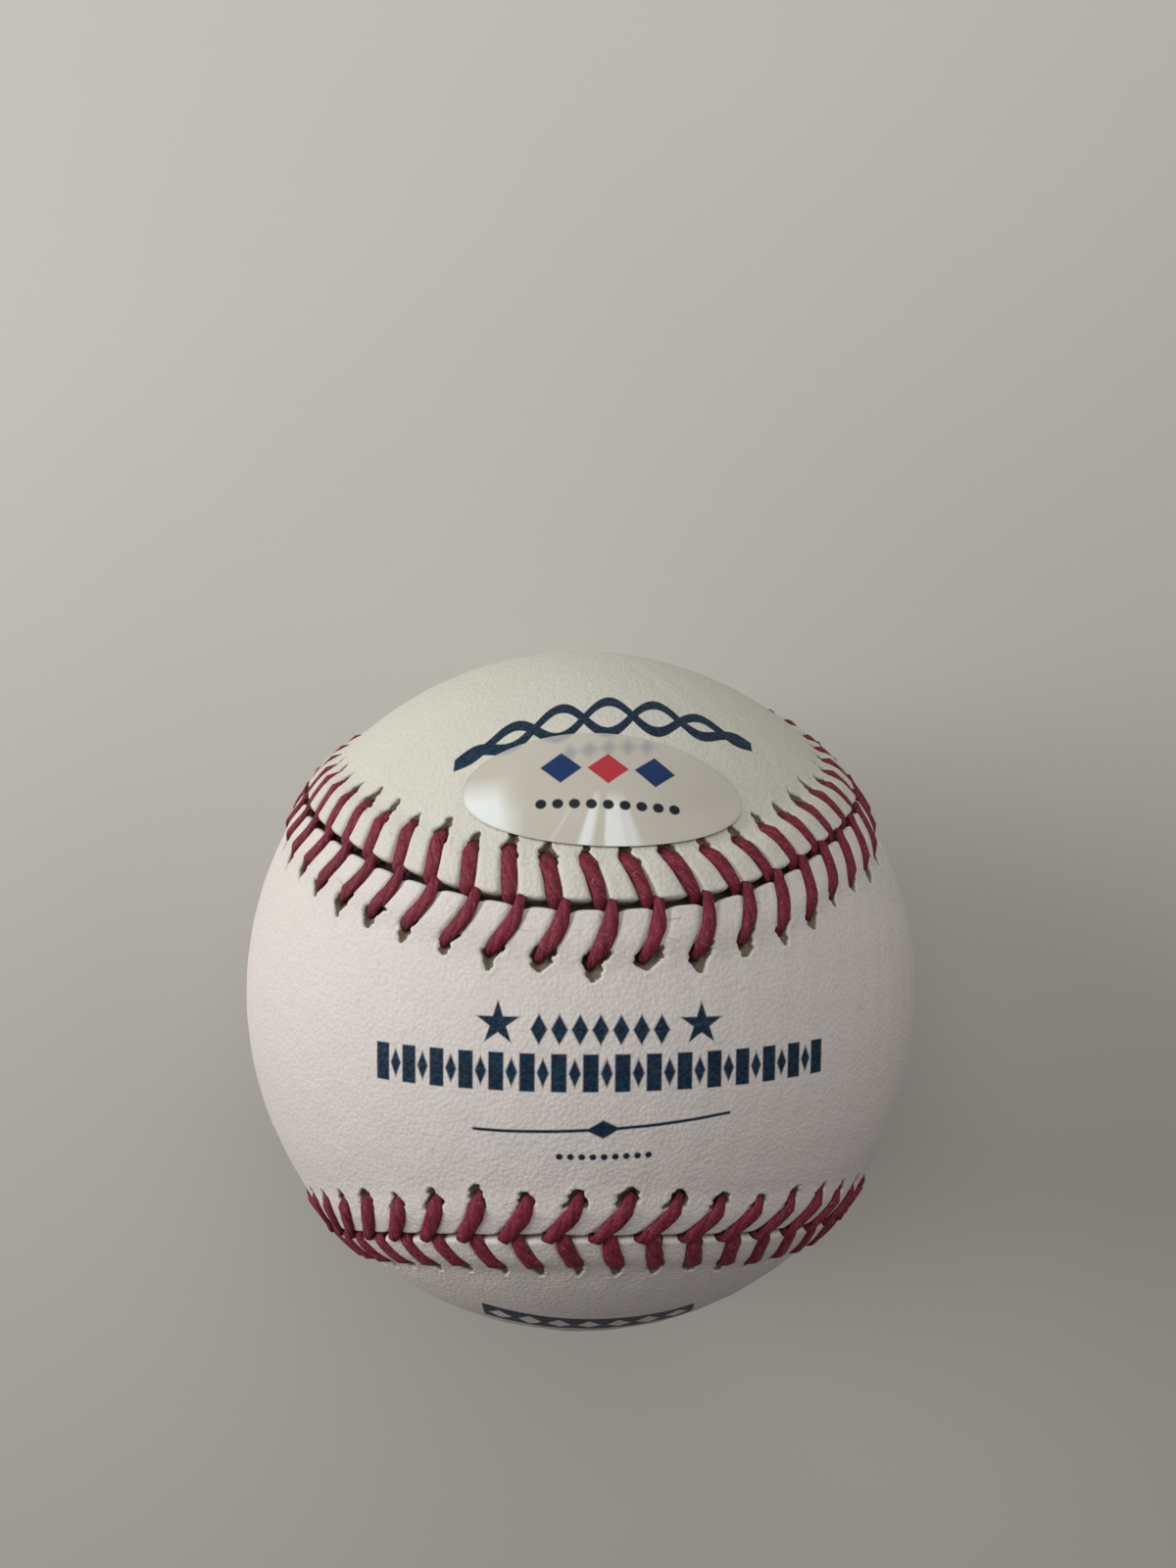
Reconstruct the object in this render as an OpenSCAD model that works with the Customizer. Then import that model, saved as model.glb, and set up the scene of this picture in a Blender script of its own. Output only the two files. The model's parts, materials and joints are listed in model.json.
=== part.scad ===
// Baseball: a cork and rubber core wound with wool, inside two leather panels
// that are sewn edge to edge with double stitches of waxed thread.
// The origin is the ball's centre. +Z goes out through the waist of cover panel A,
// whose two lobes lie toward +X and -X. Panel B has its lobes toward +Y and -Y.

/* [Core] */
// Diameter of the cork ball in the middle
cork_d = 20.64; // [16:0.01:24]
// Thickness of the two black rubber shells
black_rubber_t = 3.97; // [2.5:0.01:5]
// Thickness of the washer between the black shells
washer_t = 0.8; // [0.5:0.05:1.5]
// Thickness of the red rubber layer
red_rubber_t = 2.38; // [1.5:0.01:3.5]

/* [Windings] */
// Depth of the grey four-ply wool
first_winding_t = 14.66; // [10:0.01:18]
// Depth of the white three-ply wool
second_winding_t = 1.77; // [1:0.01:3]
// Depth of the grey three-ply wool
third_winding_t = 2.27; // [1:0.01:4]
// Depth of the finishing thread
finish_winding_t = 0.51; // [0.3:0.01:1]
// Clearance between one layer and the next
layer_clear = 0.05; // [0.02:0.01:0.1]

/* [Cover] */
// Thickness of the leather
leather_t = 1.27; // [0.9:0.01:1.6]
// Film of cement under the leather
cement_t = 0.1; // [0.05:0.01:0.2]
// Height of the leather tabs between the stitches
tab_rise = 0.75; // [0.5:0.05:1]

/* [Seam] */
// Double stitches in the whole seam
stitch_count = 108; // [96:4:112]
// How narrow the waist of each panel is, as a share of the ball
waist_share = 0.3; // [0.27:0.005:0.33]
// How far the seam runs straight past each waist
run_share = 0.078; // [0.05:0.002:0.09]
// How full the end of each lobe is
lobe_share = 0.153; // [0.1:0.001:0.17]

/* [Stitches] */
// Width of the thread, pulled flat
thread_w = 1.3; // [1:0.05:1.5]
// Thickness of the thread, pulled flat
thread_t = 0.6; // [0.4:0.05:0.8]
// Height of the thread over the smooth leather, in the grooves between the tabs
thread_lift = 0.3; // [0.2:0.05:0.4]
// Clearance round the thread
thread_clear = 0.05; // [0.03:0.01:0.1]
// Distance of the stitch holes from the middle of the seam
hole_reach = 5.1; // [4.5:0.1:6]
// Distance that the point of each V leads its two holes
stitch_lead = 1.85; // [1.5:0.05:2.2]

/* [Label] */
// Width of the oval film label
label_w = 26; // [18:0.5:28]
// Height of the oval film label
label_h = 12.4; // [8:0.1:14]
// Thickness of the label
label_t = 0.12; // [0.08:0.01:0.2]
// Distance over the leather from the waist of panel A to the label's middle
label_up = 28.6; // [27.5:0.1:34]
// Distance of the label's middle from the middle of the lobe
label_side = 1.9; // [-4:0.1:4]

/* [Hidden] */
$fn = 32;
ball_fn = 144;
// A thread is too thin for its rounds to need more sides
thread_fn = 12;

// Radii, from the middle out
cork_r = cork_d / 2;
black_r = cork_r + black_rubber_t;
red_r = black_r + red_rubber_t;
first_r = red_r + first_winding_t;
second_r = first_r + second_winding_t;
third_r = second_r + third_winding_t;
finish_r = third_r + finish_winding_t;
lining_r = finish_r + cement_t;
cover_r = lining_r + leather_t;

// Thread ends of the two panels stand side by side in the gap, panel A's ahead
end_shift = (thread_w + 4 * thread_clear) / 2;
lead_a = stitch_lead + end_shift;
lead_b = stitch_lead - end_shift;
lean_a = atan(lead_a / hole_reach);
post_drift = leather_t * hole_reach / cover_r;
gap_w = thread_w * sin(lean_a) + thread_t * cos(lean_a) + 2 * thread_clear + post_drift;
hole_d = sqrt(thread_w * thread_w + thread_t * thread_t) + 5 * thread_clear;
thread_top = cover_r + thread_lift + thread_t;
shoulder_r = thread_t * 0.9;

// The seam is a closed curve on the ball, drawn by an angle from 0 to 360.
// A quarter turn with a flip carries it, and each panel, on to the other.
function unit(v) = v / norm(v);
function seam_dir(t) = unit([
    (1 - waist_share) * sin(t) + waist_share * sin(3 * t) + run_share * sin(5 * t),
    (1 - waist_share) * cos(t) - waist_share * cos(3 * t) + run_share * cos(5 * t),
    2 * sqrt(waist_share * (1 - waist_share)) * cos(2 * t) + lobe_share * cos(6 * t)]);

// Distance run along the seam against the angle, so that stitches are evenly spaced
seam_steps = 720;
seam_pts = [for (i = [0:seam_steps]) cover_r * seam_dir(i * 360 / seam_steps)];
seam_run = [for (i = 0, run = 0; i <= seam_steps;
    i = i + 1, run = run + (i > seam_steps ? 0 : norm(seam_pts[i] - seam_pts[i - 1])))
    [run, i * 360 / seam_steps]];
seam_len = seam_run[seam_steps][0];
pitch = seam_len / stitch_count;
look = 360 / seam_steps;

// Direction from the centre to a place on the ball: a distance run along the seam,
// then a distance off to one side, negative over panel A and positive over panel B
function seam_turn(run) = lookup(run - seam_len * floor(run / seam_len), seam_run);
function ahead(t) = unit(seam_dir(t + look) - seam_dir(t - look));
function off_seam(t, a) = unit(seam_dir(t) * cos(a) + cross(seam_dir(t), ahead(t)) * sin(a));
function spot(run, off) = off_seam(seam_turn(run), off / cover_r * 180 / PI);

// A place on the line of a stitch leg: 0 at the gap, hole_reach at the hole
function leg_spot(i, side, lead, off) =
    spot(pitch * i + lead * (1 - off / hole_reach), side * off);

// Room between a stitch leg and the next one, across the leg
function room_at(i, side, lead, off) =
    let (here = leg_spot(i, side, lead, off), next = leg_spot(i + 1, side, lead, off),
        way = unit(leg_spot(i, side, lead, 0) - leg_spot(i, side, lead, hole_reach)))
    cover_r * norm(cross(next - here, way));
function room(i, side, lead) =
    min(room_at(i, side, lead, tab_in), room_at(i, side, lead, tab_out));

// A tab runs from the edge of the gap to the near side of the holes
tab_in = gap_w / 2;
tab_out = hole_reach - hole_d / 2;

// Puts its children on the ball between two directions, with z outward and x from a to b
module between(a, b) {
    z = unit(a + b);
    x = unit(b - a);
    y = cross(z, x);
    multmatrix([
        [x[0], y[0], z[0], 0],
        [x[1], y[1], z[1], 0],
        [x[2], y[2], z[2], 0]])
        children();
}

// Puts its children on the ball with z outward in one direction
module outward(a) {
    rotate([0, acos(a[2]), atan2(a[1], a[0])])
        children();
}

// A ball with its poles and its own meridian under the other panel
module cover_ball(side, r) {
    turned = side < 0 ? [90, -90, 0] : [0, 90, 0];
    spun = side < 0 ? 0 : 180;
    rotate(turned)
        rotate([0, 0, spun])
            sphere(r, $fn = ball_fn);
}

// The cone from the centre of the ball through the edge of one panel, cut off
// outside the ball. From each rim point the roof goes up toward the middle line
// of the panel, which runs from the centre of one lobe to that of the other.
edge_steps = 216;
rim_share = 1.35;
roof_share = 1.5;
roof_lean_share = 0.6;
function fold(t) = abs(t) > 90 ? sign(t) * (180 - abs(t)) : t;
function middle_turn(t) = max(-90, min(90, 2 * fold(t > 180 ? t - 360 : t)));
function swap(p) = [p[1], -p[0], -p[2]];
function middle_dir(t) = [sin(middle_turn(t)), 0, cos(middle_turn(t))];
function middle(side, t) = side < 0 ? middle_dir(t) : swap(middle_dir(t));
function turned_out(side, faces) =
    [for (f = faces) side < 0 ? f : [for (k = [len(f) - 1:-1:0]) f[k]]];

module panel_cone(side) {
    n = edge_steps;
    quarter = n / 4;
    shift = side < 0 ? 0 : quarter;
    edge = [for (i = [0:n - 1]) spot(seam_len * (i + shift) / n, side * gap_w / 2)];
    rim = [for (e = edge) cover_r * rim_share * e];
    roof = [for (i = [0:n - 1]) cover_r * roof_share
        * unit((1 - roof_lean_share) * edge[i] + roof_lean_share * middle(side, 360 * i / n))];
    sides = [for (i = [0:n - 1]) let (j = (i + 1) % n) each [
        [0, 1 + j, 1 + i],
        [1 + i, 1 + j, 1 + n + i],
        [1 + j, 1 + n + j, 1 + n + i]]];
    top = [for (k = [-quarter:quarter - 1])
        let (a = 1 + n + (k + n) % n, b = 1 + n + (k + 1 + n) % n,
            c = 1 + n + (n / 2 - k - 1 + n) % n, d = 1 + n + (n / 2 - k + n) % n)
        each (k == -quarter ? [[a, b, c]] : k == quarter - 1 ? [[a, b, d]] : [[a, b, c], [a, c, d]])];
    polyhedron(points = concat([[0, 0, 0]], rim, roof), faces = turned_out(side, concat(sides, top)));
}

// A round bar with round ends, lying along x
module tab_bar(r, run) {
    rotate([0, 90, 0])
        rotate_extrude()
            intersection() {
                union() {
                    translate([0, run / 2])
                        circle(r);
                    translate([0, -run / 2])
                        circle(r);
                    translate([0, -run / 2])
                        square([r, run]);
                }
                translate([0, -run])
                    square([2 * r, 2 * run]);
            }
}

// The leather stands up between two stitches, with a groove on each side for the thread
module tab(i, side, lead) {
    inner = leg_spot(i, side, lead, tab_in);
    outer = leg_spot(i, side, lead, tab_out);
    width = room(i - 0.5, side, lead) - thread_w - 2 * thread_clear;
    crown = tab_rise - thread_lift;
    r = (width * width / 4 + crown * crown) / (2 * crown);
    between(outer, inner)
        translate([0, 0, cover_r + tab_rise - r])
            tab_bar(r, cover_r * norm(inner - outer) - width);
}

// One figure-eight panel of leather: its tabs, its edge and its row of holes
module cover_panel(side, lead) {
    difference() {
        intersection() {
            panel_cone(side);
            union() {
                cover_ball(side, cover_r);
                for (i = [0:stitch_count - 1])
                    tab(i + 0.5, side, lead);
            }
        }
        cover_ball(side, lining_r);
        for (i = [0:stitch_count - 1])
            outward(leg_spot(i, side, lead, hole_reach))
                translate([0, 0, lining_r - leather_t])
                    cylinder(d = hole_d, h = 3 * leather_t);
    }
}

// A stitch leg seen from the side: over the leather, down the hole and down the gap
module leg_outline(run) {
    crest = thread_top;
    foot = finish_r + layer_clear;
    half = run / 2 + thread_t / 2;
    difference() {
        union() {
            translate([-half, foot])
                square([2 * half, crest - shoulder_r - foot]);
            translate([-half + shoulder_r, foot])
                square([2 * (half - shoulder_r), crest - foot]);
            for (e = [-1, 1])
                translate([e * (half - shoulder_r), crest - shoulder_r])
                    circle(shoulder_r, $fn = thread_fn);
        }
        translate([thread_t - half, foot - leather_t])
            square([2 * (half - thread_t), crest - thread_t - foot + leather_t]);
    }
}

// The thread across its length, round on top
module thread_section() {
    round_r = thread_w / 2;
    translate([thread_top - round_r, 0])
        circle(round_r, $fn = thread_fn);
    translate([finish_r, -round_r])
        square([thread_top - round_r - finish_r, thread_w]);
}

// All the stitch legs that cross one panel's edge
module stitch_legs(side, lead) {
    for (i = [0:stitch_count - 1]) {
        hole = leg_spot(i, side, lead, hole_reach);
        gap = leg_spot(i, side, lead, 0);
        run = cover_r * norm(gap - hole);
        between(hole, gap)
            intersection() {
                rotate([90, 0, 0])
                    linear_extrude(height = 2 * thread_w, center = true)
                        leg_outline(run);
                rotate([0, -90, 0])
                    linear_extrude(height = 2 * run, center = true)
                        thread_section();
            }
    }
}

// A hollow ball, between two radii
module layer(r_in, r_out) {
    difference() {
        sphere(r_out, $fn = ball_fn);
        sphere(r_in, $fn = ball_fn);
    }
}

module cork_core() {
    color("burlywood")
        sphere(cork_r, $fn = ball_fn);
}

// The black shells are cups whose rims close on the washer
module black_shell(up) {
    difference() {
        layer(cork_r + layer_clear, black_r);
        translate([0, 0, washer_t / 2 - up * black_r])
            cube([3 * black_r, 3 * black_r, 2 * black_r], center = true);
    }
}

module black_shell_upper() {
    color("dimgray")
        black_shell(1);
}

module black_shell_lower() {
    color("dimgray")
        mirror([0, 0, 1])
            black_shell(1);
}

module core_washer() {
    color("firebrick")
        rotate_extrude($fn = ball_fn)
            translate([cork_r + layer_clear, layer_clear - washer_t / 2])
                square([black_rubber_t - 2 * layer_clear, washer_t - 2 * layer_clear]);
}

module red_shell() {
    color("indianred")
        layer(black_r + layer_clear, red_r);
}

module first_winding() {
    color("gray")
        layer(red_r + layer_clear, first_r);
}

module second_winding() {
    color("ivory")
        layer(first_r + layer_clear, second_r);
}

module third_winding() {
    color("darkgray")
        layer(second_r + layer_clear, third_r);
}

module finishing_winding() {
    color("linen")
        layer(third_r + layer_clear, finish_r);
}

module cover_panel_a() {
    color("seashell")
        cover_panel(-1, lead_a);
}

module cover_panel_b() {
    color("antiquewhite")
        cover_panel(1, lead_b);
}

module stitches_panel_a() {
    color("crimson")
        stitch_legs(-1, lead_a);
}

module stitches_panel_b() {
    color("brown")
        stitch_legs(1, lead_b);
}

// A thin oval film on panel B's upper lobe
module oval_label() {
    oval_steps = 72;
    tilt = label_up / cover_r * 180 / PI;
    roll = asin(label_side / cover_r);
    color("gainsboro")
        intersection() {
            rotate([0, 90, 0])
                layer(cover_r + layer_clear, cover_r + layer_clear + label_t);
            rotate([-tilt, 0, 0])
                rotate([0, roll, 0])
                    linear_extrude(height = 2 * cover_r)
                        polygon([for (i = [0:oval_steps - 1])
                            [label_w / 2 * cos(i * 360 / oval_steps),
                                label_h / 2 * sin(i * 360 / oval_steps)]]);
        }
}

cork_core();
black_shell_lower();
black_shell_upper();
core_washer();
red_shell();
first_winding();
second_winding();
third_winding();
finishing_winding();
cover_panel_a();
cover_panel_b();
stitches_panel_a();
stitches_panel_b();
oval_label();
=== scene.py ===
import json
import math

import bpy
import numpy as np
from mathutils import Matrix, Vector


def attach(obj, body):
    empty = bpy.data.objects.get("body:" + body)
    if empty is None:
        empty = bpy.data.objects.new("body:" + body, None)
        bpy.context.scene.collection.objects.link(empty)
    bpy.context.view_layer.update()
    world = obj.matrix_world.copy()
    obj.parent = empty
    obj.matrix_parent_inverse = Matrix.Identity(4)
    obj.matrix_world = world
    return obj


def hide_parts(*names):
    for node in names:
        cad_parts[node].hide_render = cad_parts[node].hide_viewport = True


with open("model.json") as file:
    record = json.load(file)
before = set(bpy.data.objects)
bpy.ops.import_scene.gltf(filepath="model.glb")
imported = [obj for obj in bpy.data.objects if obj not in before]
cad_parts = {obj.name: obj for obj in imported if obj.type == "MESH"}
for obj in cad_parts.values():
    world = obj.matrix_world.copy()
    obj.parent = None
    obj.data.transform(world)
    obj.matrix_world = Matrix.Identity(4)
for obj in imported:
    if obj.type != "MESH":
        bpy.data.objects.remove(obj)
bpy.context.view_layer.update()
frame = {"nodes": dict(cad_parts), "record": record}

scene = bpy.context.scene
scene.view_settings.view_transform = "Standard"
mm = 0.001
ball_r = -frame["record"]["mounts"][0]["pos_m"][2]

# Camera and light
# The ball is seen from above its printed panel, by a low soft window on the left, a weaker
# skylight behind the upper seam, a pale wall on the right and the dim light of a room.
camera_place = Vector((0.0254, 0.9356, 3.495)) * ball_r
camera_turn = (math.radians(-5.522), math.radians(0.228), math.radians(0.508))
film_side = 36
focal_px = 1170
frame_height_px = 1600
room_strength = 0.1

bpy.ops.object.select_all(action="DESELECT")
bpy.ops.object.camera_add(location=camera_place, rotation=camera_turn)
camera = bpy.context.object
camera.data.sensor_width = film_side
camera.data.lens = focal_px / frame_height_px * film_side
camera.data.clip_start = 10 * mm
scene.camera = camera

lamps = {
    "window": (Vector((-0.59, 0.2, 0.24)), 0.45, 3.3),
    "skylight": (Vector((0.0, 0.38, 0.5)), 0.6, 1.8),
    "far_wall": (Vector((0.6, 0.2, 0.45)), 0.6, 0.65),
}
for lamp_name, (lamp_place, lamp_size, lamp_power) in lamps.items():
    bpy.ops.object.light_add(type="AREA", location=lamp_place)
    lamp = bpy.context.object
    lamp.name = lamp_name
    lamp.rotation_euler = (-lamp_place).to_track_quat("-Z", "Y").to_euler()
    lamp.data.shape = "DISK"
    lamp.data.size = lamp_size
    lamp.data.energy = lamp_power

room = bpy.data.worlds.new("room")
scene.world = room
room.use_nodes = True
room_light = room.node_tree.nodes["Background"]
room_light.inputs["Color"].default_value = (1.0, 1.0, 1.0, 1)
room_light.inputs["Strength"].default_value = room_strength


# Table top
# A plain pale board with a dull coat of paint, and painted shade that darkens it toward its lower right.
# The ball lies on it on one point.
class Wire:
    """A value in a finish. Sums and products of wires add Math nodes."""

    def __init__(self, finish, socket):
        self.finish = finish
        self.socket = socket

    def math(self, operation, *others, clamp=False):
        settings = {"operation": operation, "use_clamp": clamp}
        return self.finish.node("ShaderNodeMath", settings, [self, *others])

    def __add__(self, other):
        return self.math("ADD", other)

    __radd__ = __add__

    def __sub__(self, other):
        return self.math("SUBTRACT", other)

    def __rsub__(self, other):
        return self.finish.node("ShaderNodeMath", {"operation": "SUBTRACT"}, [other, self])

    def __mul__(self, other):
        return self.math("MULTIPLY", other)

    __rmul__ = __mul__

    def __truediv__(self, other):
        return self.math("DIVIDE", other)

    def __abs__(self):
        return self.math("ABSOLUTE")

    def clamp(self):
        return self.math("ADD", 0, clamp=True)

    def past(self, limit, slope):
        """How far a value has passed a limit, from 0 to 1."""
        return ((self - limit) * slope).clamp()

    def below(self, limit, slope):
        return ((limit - self) * slope).clamp()

    def filled(self, edge_w):
        """1 inside a mark and 0 outside it, from the distance inside, with an edge of some width."""
        return (self / edge_w + 0.5).clamp()

    def both(self, other):
        return self.math("MINIMUM", other)

    def either(self, other):
        return self.math("MAXIMUM", other)


class Finish:
    """A material and its nodes. Each node() gives a wire from one of the node's outputs."""

    def __init__(self, name):
        self.material = bpy.data.materials.new(name)
        self.material.use_nodes = True
        self.nodes = self.material.node_tree.nodes
        self.links = self.material.node_tree.links
        self.shader = self.nodes["Principled BSDF"]
        self.place = self.node("ShaderNodeTexCoord", out="Object")

    def fill(self, socket, value):
        if isinstance(value, Wire):
            self.links.new(value.socket, socket)
        else:
            socket.default_value = value

    def node(self, kind, settings=None, values=None, out=0):
        made = self.nodes.new(kind)
        for key, value in (settings or {}).items():
            setattr(made, key, value)
        if isinstance(values, dict):
            for key, value in values.items():
                self.fill(made.inputs[key], value)
        else:
            for index, value in enumerate(values or []):
                self.fill(made.inputs[index], value)
        return Wire(self, made.outputs[out])

    def noise(self, size, detail=2.0, rough=0.5, place=None):
        values = {"Vector": place or self.place, "Scale": 1 / size, "Detail": detail, "Roughness": rough}
        return self.node("ShaderNodeTexNoise", {}, values)

    def cells(self, size):
        values = {"Vector": self.place, "Scale": 1 / size}
        return self.node("ShaderNodeTexVoronoi", {}, values, out="Distance")

    def mix(self, share, color_a, color_b):
        made = self.nodes.new("ShaderNodeMix")
        made.data_type = "RGBA"
        self.fill(made.inputs["Factor"], share)
        for socket, color in zip((s for s in made.inputs if s.type == "RGBA"), (color_a, color_b)):
            self.fill(socket, color if isinstance(color, Wire) else (*color, 1))
        return Wire(self, next(s for s in made.outputs if s.type == "RGBA"))

    def bump(self, height, distance, strength=1.0):
        values = {"Height": height, "Distance": distance, "Strength": strength}
        return self.node("ShaderNodeBump", {}, values)

    def coat(self, **values):
        for key, value in values.items():
            self.fill(self.shader.inputs[key.replace("_", " ")], value)


board_color = (0.60, 0.59, 0.545)
board_shade = (0.575, 0.562, 0.515)
board_painted_shade_tone = (0.497, 0.463, 0.425)
painted_shade_reach = 240 * mm
painted_shade_slant = 0.4
painted_shade_in_middle = 0.45
table_w = 3.0
board = Finish("painted_board")
board_noise = board.noise(60 * mm, detail=3)
board_grain = board.noise(1.5 * mm, detail=2)
board_x = board.node("ShaderNodeSeparateXYZ", {}, [board.place])
board_y = board.node("ShaderNodeSeparateXYZ", {}, [board.place], out=1)
# Painted shade: the board grows darker toward its lower right, beside and below the ball
painted_shade_share = (painted_shade_in_middle - (board_y - painted_shade_slant * board_x) / painted_shade_reach).clamp()
board_paint = board.mix(board_noise, board_color, board_shade)
board.coat(
    Base_Color=board.mix(painted_shade_share, board_paint, board_painted_shade_tone),
    Roughness=0.6,
    Normal=board.bump(board_grain, 0.02 * mm, 0.3),
)

bpy.ops.mesh.primitive_plane_add(size=table_w, location=(0, 0, -ball_r))
table = bpy.context.object
table.name = "table_top"
table.data.materials.append(board.material)


# Core
# A cork ball in two black rubber cups, which close on a red rubber washer, with a red
# rubber shell moulded round them. None of it shows while the cover is whole.
cork_tan = (0.62, 0.42, 0.25)
cork_brown = (0.33, 0.19, 0.1)
cork = Finish("ground_cork")
cork_granule = cork.cells(1.6 * mm)
cork_speck = cork.noise(0.5 * mm)
cork.coat(
    Base_Color=cork.mix(cork_granule, cork_tan, cork_brown),
    Roughness=0.9,
    Normal=cork.bump(cork_granule + cork_speck * 0.4, 0.2 * mm, 0.8),
)


def rubber_finish(name, color, bloom):
    rubber = Finish(name)
    grain = rubber.noise(0.4 * mm, detail=3)
    rubber.coat(
        Base_Color=rubber.mix(rubber.noise(6 * mm), color, bloom),
        Roughness=0.55 + 0.2 * grain,
        Normal=rubber.bump(grain, 0.05 * mm, 0.5),
    )
    return rubber.material


black_rubber = rubber_finish("black_rubber", (0.018, 0.018, 0.018), (0.04, 0.04, 0.042))
red_rubber = rubber_finish("red_rubber", (0.42, 0.06, 0.045), (0.5, 0.1, 0.075))


# Windings
# Wool yarn is wound over the core in three layers, grey, white and grey, and a thin
# thread closes them. That thread's dark brown is painted shade, for the dark foot of the seam's gap.
wool_grey = (0.36, 0.36, 0.35)
wool_grey_shade = (0.16, 0.16, 0.155)
wool_white = (0.78, 0.75, 0.68)
wool_white_shade = (0.5, 0.47, 0.4)
# Painted shade: the closing thread is dark brown so that the foot of the seam's gap looks dark
gap_shade_brown = (0.13, 0.11, 0.09)
gap_shade_deep_brown = (0.05, 0.04, 0.032)


def yarn_finish(name, color, shade, yarn_w):
    """Two lays of yarn that cross each other, with their fuzz."""
    yarn = Finish(name)
    turned = yarn.node("ShaderNodeMapping", {}, {"Vector": yarn.place, "Rotation": (0.6, 0.9, 0.3)})
    crossing = yarn.node("ShaderNodeMapping", {}, {"Vector": yarn.place, "Rotation": (-0.8, 0.4, 1.7)})
    bands = {"Scale": 1 / (yarn_w * 2 * math.pi), "Distortion": 1.5, "Detail": 1.0}
    under = yarn.node("ShaderNodeTexWave", {}, {"Vector": turned, **bands}, out=1)
    over = yarn.node("ShaderNodeTexWave", {}, {"Vector": crossing, **bands}, out=1)
    lay = under.either(over)
    fuzz = yarn.noise(yarn_w / 3, detail=4)
    # The yarn goes from its shade tone low between the strands to its full tone on their tops: painted
    # shade, broken up at random by the fuzz
    yarn.coat(
        Base_Color=yarn.mix(lay * fuzz, shade, color),
        Roughness=0.92,
        Normal=yarn.bump(lay + 0.4 * fuzz, yarn_w / 3),
    )
    return yarn.material


inner_finishes = {
    "cork_core": cork.material,
    "black_shell_lower": black_rubber,
    "black_shell_upper": black_rubber,
    "core_washer": red_rubber,
    "red_shell": red_rubber,
    "first_winding": yarn_finish("grey_wool", wool_grey, wool_grey_shade, 1.6 * mm),
    "second_winding": yarn_finish("white_wool", wool_white, wool_white_shade, 1.3 * mm),
    "third_winding": yarn_finish("fine_grey_wool", wool_grey, wool_grey_shade, 1.3 * mm),
    "finishing_winding": yarn_finish("gap_shade_thread", gap_shade_brown, gap_shade_deep_brown, 0.4 * mm),
}
for node_name, material in inner_finishes.items():
    for material_slot in frame["nodes"][node_name].material_slots:
        material_slot.material = material


# Leather cover
# Two figure-eight panels of white alum-tanned leather, cut from one pattern and sewn edge
# to edge over the windings. The stitches press the edges down, so that tabs stand up
# between them, and the needle tears a ragged hole at the far end of each stitch.
waist_share = 0.3
run_share = 0.078
lobe_share = 0.153
stitch_count = 108
seam_samples = 7200
shift_tight = -0.1 * mm
shift_slack = -1.46 * mm
slip_slack = -0.6 * mm
# Each stray: its middle stitch, the stitches it fades out over, how far ahead and toward panel B
strays = (
    (3.7, 2.3, 0.8 * mm, -0.7 * mm),
    (44.0, 4.0, 0.0, 0.9 * mm),
    (64.0, 4.5, 0.0, 3.5 * mm),
    (91.5, 4.5, 0.0, -4.0 * mm),
)


def unit(vectors):
    return vectors / np.linalg.norm(vectors, axis=-1, keepdims=True)


def seam_at(turn):
    """The seam's closed curve on a ball of radius 1, as directions from the centre."""
    wide_share = 1 - waist_share
    return unit(np.stack([
        wide_share * np.sin(turn) + waist_share * np.sin(3 * turn) + run_share * np.sin(5 * turn),
        wide_share * np.cos(turn) - waist_share * np.cos(3 * turn) + run_share * np.cos(5 * turn),
        2 * math.sqrt(waist_share * wide_share) * np.cos(2 * turn) + lobe_share * np.cos(6 * turn),
    ], axis=-1))


seam_turns = np.linspace(0, 2 * math.pi, seam_samples + 1)
seam_points = ball_r * seam_at(seam_turns)
seam_runs = np.concatenate([[0], np.cumsum(np.linalg.norm(np.diff(seam_points, axis=0), axis=1))])
seam_length = seam_runs[-1]
pitch = seam_length / stitch_count
turn_step = 2 * math.pi / seam_samples


def pull_at(run):
    """How hard the thread was pulled: 1 at the middle of the upper seam, falling to 0 at the lower one."""
    return 0.5 + 0.5 * np.cos(2 * math.pi * run / seam_length)


def wander(run):
    """How far the hand-sewn seam strays from its pattern at a place: ahead, and toward panel B."""
    slack = 1 - pull_at(run)
    ahead = slip_slack * slack
    beside = shift_tight + (shift_slack - shift_tight) * slack
    half_way = stitch_count / 2
    for middle_stitch, stitches, stray_ahead, stray_beside in strays:
        from_middle = (run / pitch - middle_stitch + half_way) % stitch_count - half_way
        stray = np.exp(-((from_middle / stitches) ** 2))
        ahead = ahead + stray_ahead * stray
        beside = beside + stray_beside * stray
    return ahead, beside


def over_ball(run, off):
    """Directions from the centre: a distance run along the seam, then off to a side, + over panel B."""
    ahead, beside = wander(run)
    turn = np.interp((run + ahead) % seam_length, seam_runs, seam_turns)
    here = seam_at(turn)
    along = unit(seam_at(turn + turn_step) - seam_at(turn - turn_step))
    angle = ((off + beside) / ball_r)[..., None]
    return here * np.cos(angle) + np.cross(here, along) * np.sin(angle)


def smooth(value):
    """From 0 to 1 without a corner at either end."""
    value = np.clip(value, 0, 1)
    return value * value * (3 - 2 * value)


def by_stitch(table, place):
    """A table of one value a stitch, read at any place between stitches, round the whole seam."""
    low = np.floor(place).astype(int)
    share = place - low
    return table[low % stitch_count] * (1 - share) + table[(low + 1) % stitch_count] * share


# The cut edges, and the leather that swells beside them
leather_t = 1.27 * mm
gap_half = 0.27 * mm
corner_open = 0.38 * mm
corner_w = 1.7 * mm
welt_rise = 0.2 * mm
welt_flat_share = 0.4
welt_slope_share = 1.1
lip_round = 0.3 * mm
lip_drop = 0.6
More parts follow.
